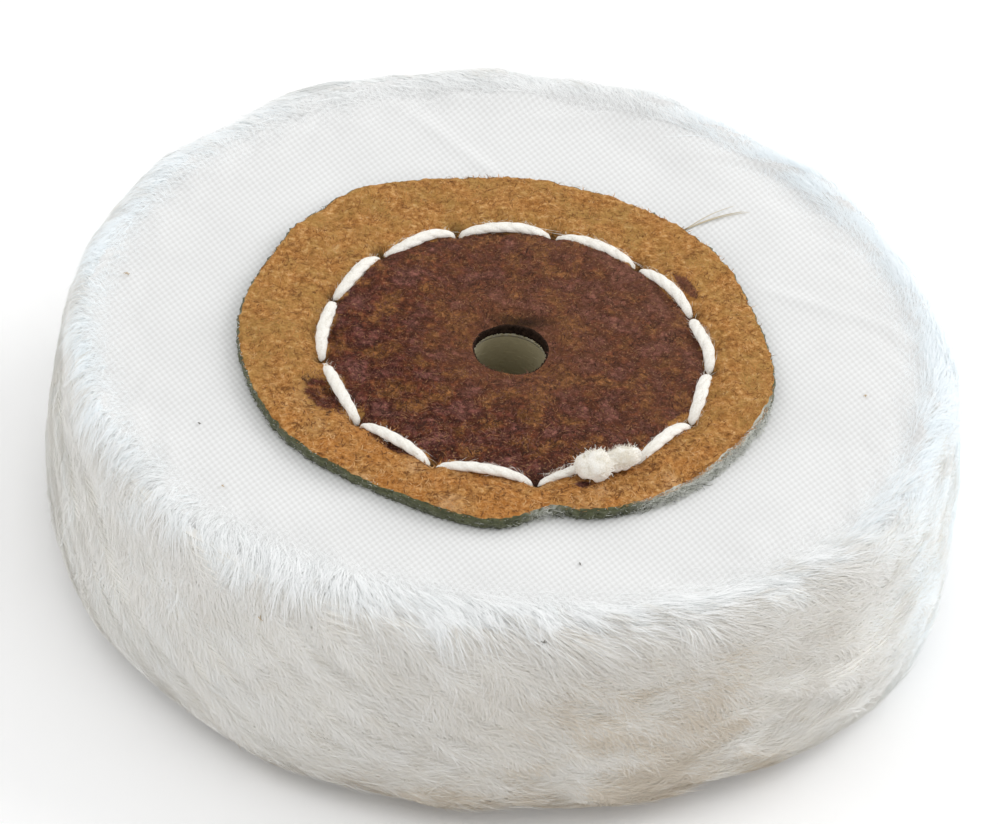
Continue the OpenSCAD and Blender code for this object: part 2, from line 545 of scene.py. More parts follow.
def face_relief(x, y):
    """How far the loose face cloth lifts off the pack, in mm."""
    lift = 0.1 + 0.1 * waves(11, x, y, 26) + 0.03 * waves(12, x, y, 9)
    for (ax, ay), (bx, by) in CREASES:
        run = np.array([bx - ax, by - ay])
        size = np.hypot(*run)
        run = run / size
        along = (x - ax) * run[0] + (y - ay) * run[1]
        off = (x - ax) * -run[1] + (y - ay) * run[0]
        ends = smooth(along, -3, 3) * smooth(size + 3 - along, 0, 5)
        fold = 0.16 * bell(off / 0.7) - 0.07 * bell((off - 1.6) / 0.9)
        lift = lift + ends * fold
    return np.clip(lift, 0, 0.5) * smooth(np.hypot(x, y), 23, 27)


def swell(theta, s):
    """How far plush and face cloth stand off the plain profile, in mm."""
    inward = np.minimum(s, RIM_END - s)
    r = profile(s, theta)[0]
    cloth = face_relief(r * np.cos(theta), r * np.sin(theta)) * (1 - smooth(inward, -4, 0))
    swells = lumps(theta, s) * smooth(inward, -6, 1)
    return np.maximum(swells, -0.12 - 2 * smooth(inward, 0, 4)) + cloth


def combed(theta, s):
    """The angle of the comb, 0 over the rim and downwards, 90 degrees round it."""
    face = np.radians(40 + 16 * np.cos(theta))
    wall = np.radians(52 + 26 * np.cos(theta))
    low = np.radians(80 + 10 * np.cos(theta))
    t = smooth(s, 1, 8)
    u = smooth(s, RIM_END - 9, RIM_END - 2)
    x, y = on_rim(theta)
    slow = 0.2 * waves(6, x + s, y - s, 14)
    return (face * (1 - t) + wall * t) * (1 - u) + low * u + slow


def face_edge(theta):
    """The radius on the top face where the woven cloth goes over into plush."""
    return 35.3 + 0.9 * np.sin(theta) - 3.9 * bulge(theta, -95, 48)


class Locks:
    """Fibres near each other share a lock, with its own lean, lift and tone."""

    START = 12

    def __init__(self, seed, pitch):
        r = seeded(seed)
        n_t, n_s = int(TURN * RIM_R / pitch), int(46 / pitch)
        t, s = np.meshgrid(np.arange(n_t), np.arange(n_s), indexing="ij")
        self.theta = (t + r.uniform(-0.45, 0.45, t.shape)).ravel() * TURN / n_t
        self.s = ((s + r.uniform(-0.45, 0.45, s.shape)) * pitch - self.START).ravel()
        self.lean = r.normal(0, 1, t.size)
        self.lift = r.uniform(0, 1, t.size)
        self.tone = r.uniform(0, 1, t.size)
        self.n_t, self.n_s, self.pitch = n_t, n_s, pitch

    def find(self, theta, s):
        t = np.round((theta % TURN) / TURN * self.n_t).astype(int)
        q = np.round((s + self.START) / self.pitch).astype(int)
        best, pick = np.full(theta.shape, 1e9), np.zeros(theta.shape, int)
        for dt in (-1, 0, 1):
            for dq in (-1, 0, 1):
                i = ((t + dt) % self.n_t) * self.n_s + np.clip(q + dq, 0, self.n_s - 1)
                gap = (theta - self.theta[i] + np.pi) % TURN - np.pi
                d = np.hypot(gap * RIM_R, s - self.s[i])
                near = d < best
                best, pick = np.where(near, d, best), np.where(near, i, pick)
        return pick


SMALL, LARGE = Locks(21, 0.6), Locks(22, 2.4)


def plush_tone(theta, s, i, j, r):
    """Which shade each fibre has: painted light makes it bluish on top where the lamps fall, on
    the right and far left, and lighter at the back; painted shade makes it darker down the side
    wall; soiled in front and low down.
    """
    front = bulge(theta, -65, 22)
    low = smooth(s, RIM_END - 4.5, RIM_END - 1) * smooth(-np.cos(theta - 0.35), -0.75, 0.1)
    x, y = on_rim(theta)
    patch = 0.65 + 0.22 * waves(10, 0.5 * x, 0.5 * y + s, 5.5)
    patch = patch + 0.16 * waves(9, theta * 12, s * 1.6, 3.0)
    soil = front * smooth(s, 2, 8) * 0.18 + low * (0.1 + 0.2 * bulge(theta, -80, 36))
    small, large = SMALL.tone[i] - 0.5, LARGE.tone[j] - 0.5
    ragged = s + 2.4 * bulge(theta, -82, 32) + bulge(theta, -40, 25)
    wall = smooth(ragged + 2.0 * large + 1.4 * small, 0.8, 3.6)
    # right is the side facing the key lamp.
    right = smooth(np.cos(theta - 0.35), 0.45, 0.9)
    spread = 1 - 0.5 * wall
    # Painted light: lighter shades towards the back.
    tone = 0.2 - 0.06 * smooth(np.sin(theta), -0.2, 0.5) + spread * 0.16 * (small + large)
    tone = tone + 0.24 * spread * r.uniform(-0.5, 0.5, len(s))
    # Painted shade: darker shades down the side wall, most in front and least on the right where
    # the key lamp falls, and a painted shadow of a fold near -10 degrees.
    tone = tone + (0.35 + 0.13 * bulge(theta, -75, 45)) * wall * (1 - 0.85 * right)
    tone = tone + 0.22 * wall * bulge(theta, -10, 14)
    tone = tone + soil * np.clip(patch, 0, 1.3) + 0.12 * soil * r.uniform(0, 1, len(s))
    picks = np.digitize(tone, [0.3, 0.5, 0.66, 0.8])
    # Painted light: bluish-white fibres on top where the key lamp (right) and the fill lamp (far
    # left) fall.
    cool = np.maximum(right, bulge(theta, 172, 38)) > r.uniform(0.1, 0.9, len(s))
    return np.where(cool & ((picks == 0) | (picks == 1) & (right > 0.6)), LAMP_TINT, picks)


def plush_fibres(
    name, seed, theta, s, length, stand, clump, body=1.0, width=0.02, root_h=0.25, shade=0.0
):
    """Fibres rooted at depth root_h under the surface at s, combed and gathered into locks.

    body is how full the plush is, and shade moves the tone's place up over the rim."""
    r = seeded(seed)
    n = len(theta)
    i, j = SMALL.find(theta, s), LARGE.find(theta, s)
    under = s > RIM_END
    back = smooth(np.sin(theta), -0.3, 0.4)
    shoulder = (1 - smooth(s, 1, 5)) * (1 - 0.75 * back)
    rough = bulge(theta, -60, 32) * (1 - smooth(s, 6, 13))
    lean = (0.05 + 0.12 * shoulder) * SMALL.lean[i] + (0.07 + 0.1 * rough) * LARGE.lean[j]
    loose = np.maximum(0.1 + 0.35 * (1 - shoulder), 0.8 * (1 - body))
    way = combed(theta, s) + lean + loose * r.normal(0, 1, n)
    way = np.where(under, np.pi - way, way)
    length = length * (0.8 + 0.4 * LARGE.lift[j]) * r.uniform(0.65, 1.3, n)
    rad = np.maximum(profile(s, theta)[0], 20)
    lump = swell(theta, s)
    lift = (0.02 + 0.2 * shoulder + 0.1 * rough) * SMALL.lift[i] ** 2
    lift = lift + (0.01 + 0.04 * shoulder + 0.04 * rough) * LARGE.lift[j]
    gap = (SMALL.theta[i] - theta + np.pi) % TURN - np.pi
    drift = SMALL.s[i] - s
    rise = r.uniform(0.0, 0.05 + 0.04 * shoulder, n)
    curves = np.zeros((n, 3, 3))
    for k, (f, h) in enumerate(((0.0, 0.0), (0.45, 1.0), (1.0, 0.85))):
        t = theta + np.sin(way) * length * f / rad + clump * f * gap
        q = s + np.cos(way) * length * f + clump * f * drift
        q = np.where(under, q, np.minimum(q, RIM_END + 1.5))
        height = lump + 0.02 + h * (lift + rise) * body + stand * f * f - (root_h if k == 0 else 0)
        curves[:, k] = plush_point(t, q, height, theta)
    picks = plush_tone(theta, s - shade, i, j, r)
    up = unit(plush_point(theta, s, 1.0) - plush_point(theta, s, 0.0))[:, None]
    return strands(name, curves, width * r.uniform(0.7, 1.3, n), PLUSH, picks, up)


# ---- The cloth plies
def woven_ply(name, side):
    """A face cloth with its weave in the mesh: one point for each crossing of warp and weft."""
    nx, ny = int(40 / WARP), int(40 / WEFT)
    i, j = np.meshgrid(np.arange(-nx, nx + 1), np.arange(-ny, ny + 1), indexing="ij")
    u, v = i * WARP, j * WEFT
    c, s = math.cos(WEAVE_TURN), math.sin(WEAVE_TURN)
    x, y = c * u - s * v, s * u + c * v
    r = np.hypot(x, y)
    angle = np.arctan2(y, x)
    outer = rim_outer(angle) if side > 0 else np.full(angle.shape, 38.3)
    index = np.arange(i.size).reshape(i.shape)
    corners = index[:-1, :-1], index[1:, :-1], index[1:, 1:], index[:-1, 1:]
    cells = np.stack(corners, -1).reshape(-1, 4)
    inside = (r < outer) & (r > BORE_R + 0.1)
    cells = cells[inside.ravel()[cells].all(1)]
    edges = np.concatenate([cells[:, [k, (k + 1) % 4]] for k in range(4)])
    key = np.sort(edges, axis=1)
    key = key[:, 0].astype(np.int64) * i.size + key[:, 1]
    _, first, count = np.unique(key, return_index=True, return_counts=True)
    rim = edges[first[count == 1]]
    snap = np.zeros(i.size, bool)
    snap[rim.ravel()] = True
    x, y, r = x.ravel().copy(), y.ravel().copy(), r.ravel()
    pull = np.where(r > 20, outer.ravel(), BORE_R) / np.maximum(r, 1e-6)
    x[snap], y[snap] = (x * pull)[snap], (y * pull)[snap]
    over = 1 - ((i + j) % 2).ravel() * 2.0
    angle = angle.ravel()
    if side > 0:
        way = top_way(angle, np.hypot(x, y))
        level = profile(way, angle)[1]
    else:
        way = RIM_END + profile(RIM_END, angle)[0] - np.hypot(x, y)
        level = PACK_TOP + 0.05
    level = level - 0.05 + swell(angle, way) - 0.05 * smooth(np.hypot(x, y), 30, 34)
    top = np.stack([x, y, side * (level + over * 0.045)], -1)
    under = np.stack([x, y, side * (level - PLY_T * 0.9)], -1)
    used = np.unique(cells)
    back = np.full(i.size, -1)
    back[used] = np.arange(len(used))
    cells, rim, m = back[cells], back[rim], len(used)
    points = np.concatenate([top[used], under[used]])
    walls = np.stack([rim[:, 1], rim[:, 0], rim[:, 0] + m, rim[:, 1] + m], -1)
    faces = [cells, cells[:, ::-1] + m, walls]
    if side < 0:
        faces = [f[:, ::-1] for f in faces]
    return make_mesh(name, points, faces, [WOVEN])


def inner_ply(name, z, seed):
    """One cloth disc inside the pack, its edge as uneven as the plush over it."""
    around = 300
    a = np.arange(around) * TURN / around
    rng = seeded(seed)
    s = way_at(a, z)
    edge = profile(s, a)[0] - 0.2 + lumps(a, s) + rng.normal(0, 0.01, around)
    bore = BORE_R + 0.012 * waves(seed + 500, 9 * np.cos(a), 9 * np.sin(a), 3)
    half = PLY_T * 0.47
    rows = []
    for side in (1, -1):
        part = [bore, 8.0, 20.0, 32.0, edge - 0.5, edge]
        zs = [PLY_T * 0.5] + [half] * 4 + [PLY_T * 0.49]
        if side < 0:
            part, zs = part[::-1], zs[::-1]
        rows += [polar(q, a, z + side * h) for q, h in zip(part, zs)]
    faces = ring_faces(len(rows), around, flip=True, closed=True)
    return make_mesh(name, np.concatenate(rows), [faces], [EDGEWISE], shade=False)


def scatter(rng, s_from, s_to, density):
    """Random places over a band of the plush, as angle and s."""
    radius = profile((s_from + s_to) / 2)[0]
    n = int(density * (s_to - s_from) * TURN * radius)
    return rng.uniform(0, TURN, n), rng.uniform(s_from, s_to, n)


def ply_scatter(rng, z_low, z_high, density):
    """Random places over the band of plush that one ply makes."""
    n = int(density * TURN * 40 * 6)
    theta = rng.uniform(0, TURN, n)
    s_from, s_to = way_at(theta, z_high), way_at(theta, z_low)
    keep = rng.uniform(0, 6, n) < s_to - s_from
    theta, s_from, s_to = theta[keep], s_from[keep], s_to[keep]
    return theta, rng.uniform(s_from, s_to)


def build_plies():
    density = 34.0
    last = len(PLIES) - 1
    for k, node in enumerate(PLIES):
        low, high = box_mm(node)
        side = 1 if k == last else -1
        face = k in (0, last)
        rng = seeded(100 + k)
        if face:
            disc = woven_ply(f"{node}.cloth", side)
        else:
            disc = inner_ply(f"{node}.cloth", (low[2] + high[2]) / 2, 200 + k)
        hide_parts(node)
        theta, s = ply_scatter(rng, low[2], high[2], density)
        length = 2.1 + 1.4 * (1 - smooth(s, 2, 7)) - 0.3 * smooth(s, RIM_END - 5, RIM_END)
        stray = rng.uniform(0, 1, len(s))
        stand = np.where(stray > 0.99, 0.5, 0.05 * stray**3)
        clump = 0.05 + 0.45 * (1 - smooth(s, 1, 5)) + 0.2 * bulge(theta, -60, 32)
        fringe = plush_fibres(
            f"{node}.fringe", 300 + k, theta, s, length, stand, clump, root_h=0.2
        )
        pieces = [fringe]
        if face:
            pieces += face_plush(node, side, 400 + k, density)


def face_plush(node, side, seed, density):
    """The fuzz that grows out of a face cloth towards its edge, and the locks that hang over."""
    rng = seeded(seed)
    turn = 0 if side > 0 else 2.0
    at = (lambda v: v) if side > 0 else (lambda v: RIM_END - v)
    theta, s = scatter(rng, *sorted((at(-8.5), at(4.5))), density)
    past = profile(s, theta)[0] - face_edge(theta + turn)
    keep = rng.uniform(0, 1, len(s)) < 0.12 * smooth(past, -3, -0.6) + 0.88 * smooth(past, -1, 1.4)
    keep &= side * (s - way_at(theta, side * (PACK_TOP - 0.01))) < 0.15
    theta, s, past = theta[keep], s[keep], past[keep]
    body = smooth(past, -0.5, 3.0)
    width = 0.01 + 0.011 * smooth(past, -0.5, 2.5)
    length = 1.0 + 2.0 * body
    stand, clump = 0.03 * body, 0.05 + 0.35 * body
    pieces = []
    for k in (0, 1):
        part = [a[k::2] for a in (theta, s, length, stand, clump, body, width)]
        pieces.append(plush_fibres(f"{node}.fuzz_{k + 1}", seed + 1 + 50 * k, *part))
    theta, s = scatter(rng, *sorted((at(-3.0), at(2.2))), density * 0.34)
    past = profile(s, theta)[0] - face_edge(theta + turn)
    keep = past > 1.4
    theta, s, past = theta[keep], s[keep], past[keep]
    lock = SMALL.lift[SMALL.find(theta, s)] * smooth(past, 0.5, 2.5)
    length = rng.uniform(3.0, 4.8, len(s))
    stand = 0.04 + 0.45 * lock**2
    # shade=3.0 gives these locks the lighter tones from higher up the rim, clear of the wall's
    # painted shade.
    locks = plush_fibres(
        f"{node}.locks", seed + 2, theta, s, length, stand, 0.7, width=0.024, shade=3.0
    )
    pieces.append(locks)
    return pieces


# ---- Sewing
def hole_angle(j):
    u = TURN * (j % STITCHES) / STITCHES
    waves_of_hand = ((1, 1.0, -155), (2, 0.64, 28), (3, 0.31, -68), (4, 0.28, 52))
    wander = sum(size * math.cos(k * u + math.radians(at)) for k, size, at in waves_of_hand)
    return math.radians(111.65) - u + math.radians(2.9) * wander


def hole_at(j):
    return STITCH_C + STITCH_R * heading(hole_angle(j))


HOLES = np.array([hole_at(j) for j in range(STITCHES)])


def stitch_line(j, side, steps=26):
    """The middle line of one stitch, pulled straight from hole j to the next."""
    r = seeded(700 + j * 2 + (side > 0))
    start, end = HOLES[j % STITCHES], HOLES[(j + 1) % STITCHES]
    run = end - start
    size = np.hypot(*run)
    run = run / size
    out = np.array([-run[1], run[0]])
    b = np.linspace(0, 1, steps)
    bow = np.sin(np.pi * b)
    along = b * (size - 0.5) + 0.25
    off = 0.1 * r.normal() * bow + 0.08 * r.normal() * np.sin(TURN * b) + 0.12 * bow
    xy = start + along[:, None] * run + off[:, None] * out
    z = LEATHER_TOP - 1.3 + (1.3 + 0.2 + 0.04 * r.normal()) * np.minimum(1, 1.02 * bow**0.4)
    return np.column_stack([xy, side * z])


def path_frames(line):
    """Two unit vectors across a line at each point, without twist."""
    tangent = unit(np.gradient(line, axis=0))
    out = line - np.array([*STITCH_C, 0])
    out[:, 2] = 0
    a = unit(out - (out * tangent).sum(-1, keepdims=True) * tangent)
    return tangent, a, np.cross(tangent, a)


def tubes(name, parts):
    """An object of tubes with closed ends, each one given as rings of points."""
    quads, caps, first = [], [], 0
    for rings in parts:
        n, around, _ = rings.shape
        quads.append(ring_faces(n, around, first))
        caps.append(first + np.arange(around)[::-1])
        caps.append(first + (n - 1) * around + np.arange(around))
        first += n * around
    points = np.concatenate([rings.reshape(-1, 3) for rings in parts])
    return make_mesh(name, points, [np.concatenate(quads), np.array(caps)], [TWINE])


def twine(name, lines, widths):
    """Three soft strands laid round each of the given lines."""
    twist_mm, around = 4.2, 10
    parts = []
    for line, width in zip(lines, widths):
        _, a, b = path_frames(line)
        s = np.concatenate([[0], np.cumsum(np.linalg.norm(np.diff(line, axis=0), axis=1))])
        for k in range(3):
            turn = s / twist_mm * TURN + k * TURN / 3
            wide, tall = 0.15 * width[:, None], 0.08 * width[:, None]
            centre = line + wide * np.cos(turn)[:, None] * a + tall * np.sin(turn)[:, None] * b
            t2 = unit(np.gradient(centre, axis=0))
            a2 = unit(a - (a * t2).sum(-1, keepdims=True) * t2)
            b2 = np.cross(t2, a2)
            ang = np.arange(around) * TURN / around
            rings = centre[:, None] + width[:, None, None] * (
                0.45 * np.cos(ang)[None, :, None] * a2[:, None]
                + 0.29 * np.sin(ang)[None, :, None] * b2[:, None]
            )
            parts.append(rings)
    return tubes(name, parts)


def fuzz_on(lines, per_line, seed):
    """Fine hairs that stand off the given lines."""
    length, reach = 0.9, 0.5
    r = seeded(seed)
    curves = []
    for line in lines:
        tangent, a, b = path_frames(line)
        i = r.integers(2, len(line) - 2, per_line)
        turn = r.uniform(0, TURN, per_line)[:, None]
        out = np.cos(turn) * a[i] + np.sin(turn) * b[i]
        along = tangent[i] * r.normal(0, 1, (per_line, 1))
        size = length * r.uniform(0.5, 1.3, (per_line, 1))
        p0 = line[i] + out * (reach - 0.12)
        p1 = line[i] + out * (reach + 0.12) + along * size * 0.4
        tip = reach + 0.1 + 0.3 * r.uniform(0, 1, (per_line, 1)) ** 2
        p2 = line[i] + out * tip + along * size * 0.8
        curves.append(np.stack([p0, p1, p2], 1))
    return np.concatenate(curves)


def build_sewing():
    top = [stitch_line(j, 1) for j in range(STITCHES) if j != KNOT_J]
    top.append(stitch_line(KNOT_J, 1)[15:])
    bottom = [stitch_line(j, -1) for j in range(STITCHES)]
    passes = []
    for x, y in HOLES:
        z = np.linspace(-LEATHER_TOP + 1.3, LEATHER_TOP - 1.3, 14)
        out = unit(np.array([x, y]) - STITCH_C)
        side = np.array([-out[1], out[0]])
        turn = np.pi * (z - z[0]) / (z[-1] - z[0])
        for half in (0, np.pi):
            off = 0.6 * (np.cos(turn + half)[:, None] * side + np.sin(turn + half)[:, None] * out)
            passes.append(np.column_stack([x + off[:, 0], y + off[:, 1], z]))
    full = 0.66 + 0.34 * np.sin(np.pi * np.linspace(0, 1, 26)) ** 0.7
    widths = [full] * (STITCHES - 1) + [full[15:] * 0.85] + [full] * STITCHES
    widths += [np.ones(14)] * len(passes)
    thread = twine("stitch_thread.twine", top + bottom + passes, widths)
    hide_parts("stitch_thread")
    hairs = np.concatenate([fuzz_on(top, 90, 41), fuzz_on(bottom, 60, 42)])
    n = len(hairs)
    picks = seeded(5).integers(0, 2, n)
    fuzz = strands("stitch_thread.fuzz", hairs, np.full(n, 0.015), COTTON, picks)


class Lobe:
    """A lump of the knot: its share of the way to the next hole, how far out, and half sizes."""

    def __init__(self, share, out, size):
        a = hole_angle(KNOT_J) + share * (hole_angle(KNOT_J + 1) - hole_angle(KNOT_J))
        x, y = STITCH_C + (STITCH_R + out) * heading(a)
        self.centre = np.array([x, y, LEATHER_TOP + size[2] - 0.15])
        along, across = [-math.sin(a), math.cos(a), 0], [math.cos(a), math.sin(a), 0]
        self.axes = np.array([along, across, [0, 0, 1.0]])
        self.size, self.phase = size, share * 9

    def world(self, local):
        return self.centre + local @ self.axes

    def skin(self, rows, around):
        phi = np.linspace(0.02, np.pi - 0.02, rows)
        t = np.arange(around) * TURN / around
        across = np.outer(np.sin(phi), np.cos(t)), np.outer(np.sin(phi), np.sin(t))
        d = np.stack([np.outer(np.cos(phi), np.ones(around)), *across], -1).reshape(-1, 3)
        lump = 1 + 0.11 * waves(62, d[:, 0] * 3 + self.phase, d[:, 1] * 3 + d[:, 2] * 2, 2.2)
        return self.world(d * self.size * lump[:, None]).reshape(rows, around, 3)

    def hairs(self, r, count):
        e = unit(r.normal(size=(count, 3)))
        e[:, 2] = np.abs(e[:, 2]) * np.where(r.uniform(size=count) < 0.85, 1, -0.4)
        swirl = unit(np.cross(e, [0.3, 0.2, 1.0]) + 0.6 * r.normal(size=(count, 3)))
        swirl = swirl * r.choice([-1, 1], (count, 1))
        lump = waves(63, e[:, :1] * 3 + self.phase, e[:, 1:2] * 3 + e[:, 2:] * 2, 1.8)
        base = e * self.size * (1 + 0.09 * lump)
        long = r.uniform(0.5, 1.3, (count, 1))
        p0 = base * 0.94
        p1 = base * 1.03 + swirl * long * 0.4
        p2 = base * (1.01 + 0.1 * r.uniform(size=(count, 1)) ** 3) + swirl * long * 0.45
        return np.stack([self.world(q) for q in (p0, p1, p2)], 1)


def build_knot():
    """Two soft lobes of teased-out cotton, where the thread's ends are tied."""
    r = seeded(61)
    lobes = Lobe(0.46, 0.3, (1.6, 1.35, 1.2)), Lobe(0.17, 0.05, (1.75, 1.0, 0.9))
    knot = tubes("thread_knot.lobes", [lobe.skin(15, 24) for lobe in lobes])
    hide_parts("thread_knot")
    hairs = np.concatenate([lobe.hairs(r, 1300) for lobe in lobes])
    n = len(hairs)
    middle = np.array([8.9, -15.8, LEATHER_TOP + 0.4])
    up = unit(hairs[:, 1:2] - middle)
    picks = r.integers(0, 2, n)
    fuzz = strands("thread_knot.fluff", hairs, np.full(n, 0.022), COTTON, picks, up)


# ---- Leather discs
def cut_radius(theta, spin):
    """The hand-cut outline, as in the CAD."""
    a = theta - math.radians(spin)
    r = 0.68 * np.cos(a - math.radians(142)) + 0.29 * np.cos(5 * a + math.radians(59))
    r = r + 0.2 * np.cos(8 * a + math.radians(20))
    return 23.45 + r - 1.65 * bulge(a, -77, 7)


# Where the stain has crept past the stitches: angle in degrees, radius, half length, half width.
BLOTS = [
    (-149, 18.4, 2.4, 1.5),
    (-122, 17.6, 2.4, 0.7),
    (-78, 17.3, 1.2, 0.6),
    (36, 18.4, 2.0, 0.55),
    (-67, 19.2, 0.7, 0.5),
]


def stain_depth(x, y):
    """How deep inside the dark, soaked middle a point lies, in mm: it ends at the stitches."""
    depth = np.full(np.shape(x), 99.0)
    for j in range(STITCHES):
        a, b = HOLES[j], HOLES[(j + 1) % STITCHES]
        run = (b - a) / np.hypot(*(b - a))
        depth = np.minimum(depth, (x - a[0]) * run[1] - (y - a[1]) * run[0])
    depth = depth - 0.3 + 0.2 * waves(73, x, y, 2.5)
    r, theta = np.hypot(x, y), np.arctan2(y, x)
    depth = depth - 0.9 * bulge(theta, -27, 5) * smooth(r, 14, 16)
    for at, out, long, wide in BLOTS:
        a = math.radians(at)
        u = x * math.cos(a) + y * math.sin(a) - out
        v = -x * math.sin(a) + y * math.cos(a)
        depth = np.maximum(depth, 0.8 * (1 - np.hypot(u / wide, v / long)))
    return depth


def dish_shade(x, y):
    """How much painted shade darkens the far slope of the dish round the arbor hole, 0 to 0.85;
    that slope faces away from the key lamp.
    """
    return 0.85 * bell((x - 0.8) / 2.5) * bell((y - 3.7) / 0.85)


def leather_height(x, y):
    """Height of the suede over the flat face, in mm: dish, pulled stitches, slow waves."""
    r = np.hypot(x, y)
    h = -0.45 * (1 - smooth(r, 3.2, 6.2)) + 0.09 * waves(71, x, y, 9) + 0.05 * waves(72, x, y, 3)
    ring = np.hypot(x - STITCH_C[0], y - STITCH_C[1]) - STITCH_R
    h = h - 0.16 * bell(ring) + 0.1 * bell((ring + 2.3) / 1.1) + 0.08 * bell(ring - 2.0)
    for hx, hy in HOLES:
        d2 = (x - hx) ** 2 + (y - hy) ** 2
        h = h - 0.6 * np.exp(-d2 / 0.45) - 0.12 * np.exp(-d2 / 4)
    return h


def add_attribute(obj, name, values):
    data = obj.data.attributes.new(name, "FLOAT", "POINT")
    data.data.foreach_set("value", np.asarray(values, dtype=np.float32))


def leather_disc(node, side, spin, seed):
    around, across = ((540, 118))
    theta = np.arange(around) * TURN / around
    out = cut_radius(theta, spin) + 0.05 * waves(seed, 40 * np.cos(theta), 40 * np.sin(theta), 1.6)
    share = np.linspace(0, 1, across)[:, None]
    r = (BORE_R + 0.12) * (1 - share) + (out - 0.1) * share
    x, y = r * np.cos(theta), r * np.sin(theta)
    rng = seeded(seed)
    h = leather_height(x, y) + 0.025 * rng.normal(size=x.shape)
    h = h - 0.12 * smooth(share, 0.985, 1.0)
    rings = list(np.stack([x, y, LEATHER_TOP + h], -1))
    bottom = PACK_TOP + 0.02
    for f in (0.06, 0.2, 0.4, 0.6, 0.8, 1.0):
        rr = out + 0.07 * rng.normal(size=around) * (f < 1) - 0.25 * f * f + 0.06 * math.sin(f * 3)
        z = (LEATHER_TOP + h[-1] - 0.02) * (1 - f) + bottom * f
        rings.append(polar(rr, theta, z))
    for f in (1.0, 0.75, 0.5, 0.25, 0.06):
        rr = BORE_R + 0.05 * rng.normal(size=around)
        z = (LEATHER_TOP + h[0] - 0.02) * (1 - f) + bottom * f
        rings.append(polar(rr, theta, z))
    rings = np.array(rings)
    rings[..., 2] *= side
    faces = ring_faces(len(rings), around, flip=side > 0, closed=True)
    row = np.arange(len(rings)).repeat(around)
    slots = np.select([row < across - 1, row < across + 5], [0, 1], 2)
    disc = make_mesh(f"{node}.hide", rings.reshape(-1, 3), [faces], [SUEDE, CUT, BORE_WALL], slots)
    px, py = rings[..., 0].ravel(), rings[..., 1].ravel()
    ang = np.arctan2(py, px)
    add_attribute(disc, "stain", np.clip(stain_depth(px, py) / 0.7, -1.2, 1.2))
    d = np.min(np.hypot(px[:, None] - HOLES[:, 0], py[:, None] - HOLES[:, 1]), axis=1)
    # Painted shade: dark round each needle hole and on the far slope of the dish.
    add_attribute(disc, "pit_shade", np.maximum(0.9 * bell(d / 0.75), dish_shade(px, py)))
    notch = 0.6 + 0.4 * waves(seed + 2, 30 * ang, rings[..., 2].ravel(), 0.7)
    notch = np.clip(bulge(ang, NOTCH, 3.5) * notch, 0, 1)
    pale = smooth(np.cos(ang - PALE_EDGE), 0.88, 0.97)
    add_attribute(disc, "pale", np.maximum(pale, notch))
    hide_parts(node)
    return disc


def leather_nap(node, side, spin, seed):
    """Short suede fibres over the face, and longer ones along the cut edge."""
    rng = seeded(seed)
    n = 17000
    theta = rng.uniform(0, TURN, n)
    r = np.sqrt(rng.uniform(3.4**2, 23.4**2, n))
    keep = r < cut_radius(theta, spin) - 0.15
    theta, r = theta[keep], r[keep]
    x, y = r * np.cos(theta), r * np.sin(theta)
    n = len(x)
    way = 0.9 * waves(seed + 1, x, y, 5) + rng.normal(0, 1.1, n) + 0.6
    size = rng.uniform(0.3, 0.8, n)
    lift = 0.2 * rng.uniform(0, 1, n) ** 4
    curves = np.zeros((n, 3, 3))
    for k, f in enumerate((0, 0.55, 1.0)):
        px, py = x + np.cos(way + 0.5 * f) * size * f, y + np.sin(way + 0.5 * f) * size * f
        z = LEATHER_TOP + leather_height(px, py) - 0.03 + (0, 0.08, 0.06)[k] + lift * f
        curves[:, k] = np.stack([px, py, side * z], -1)
    dark = stain_depth(x, y) > rng.normal(0, 0.12, n) - 0.1
    mottle = 0.45 * waves(seed + 7, x, y, 2.6) + 0.3 * waves(seed + 8, x, y, 1.1)
    mottle = mottle + 0.5 * rng.normal(0, 1, n)
    mottle = mottle * (1 + 0.3 * smooth(-y, 5, 14))
    picks = np.digitize(-mottle, [-1.1, -0.15, 0.5])
    picks[dark] += 4
    # Painted shade: the darkest brown fibres lie on the dish's far slope.
    picks[dish_shade(x, y) > rng.uniform(0.1, 0.6, n)] = 7
    width = rng.uniform(0.016, 0.034, n) * (1 + 0.7 * smooth(-y, 6, 14))
    up = np.array([0, 0, float(side)])
    nap = strands(f"{node}.nap", curves, width, TAN + DARK, picks, up)
    m = 4800
    theta = rng.uniform(0, TURN, m)
    theta[: m // 4] = PALE_EDGE + rng.normal(0, 0.3, m // 4)
    f = rng.uniform(0, 1, m)
    out = cut_radius(theta, spin)
    z = LEATHER_TOP - 0.1 - f * 1.2
    pale = np.maximum(smooth(np.cos(theta - PALE_EDGE), 0.85, 0.97), bulge(theta, NOTCH, 5))
    size = rng.uniform(0.3, 0.9, m) * (0.6 + 0.9 * pale)
    sweep = rng.normal(0, 0.8, m)
    curves = np.zeros((m, 3, 3))
    for k, g in enumerate((0, 0.5, 1.0)):
        reach = (0.4 + size) * rng.uniform(0.6, 1, m) * (1 + 1.3 * pale * f)
        rr = out - 0.15 + (0, 0.22, 0.3)[k] * reach
        tt = theta + sweep * size * g / 23
        zz = z + (0.12 - 0.35 * f) * size * g
        curves[:, k] = polar(rr, tt, side * np.maximum(zz, PACK_TOP + 0.1))
    skin = f < 0.14
    bleached = rng.uniform(0, 1, m) < 0.25 + 0.68 * pale
    picks = np.where(bleached, 1, np.where(rng.uniform(0, 1, m) < 0.5, 0, 2))
    picks = np.where(skin, rng.choice([1, 3, 4], m), picks)
    width = rng.uniform(0.014, 0.03, m)
    edge = strands(f"{node}.edge_fibres", curves, width, EDGE + TAN[:2], picks)


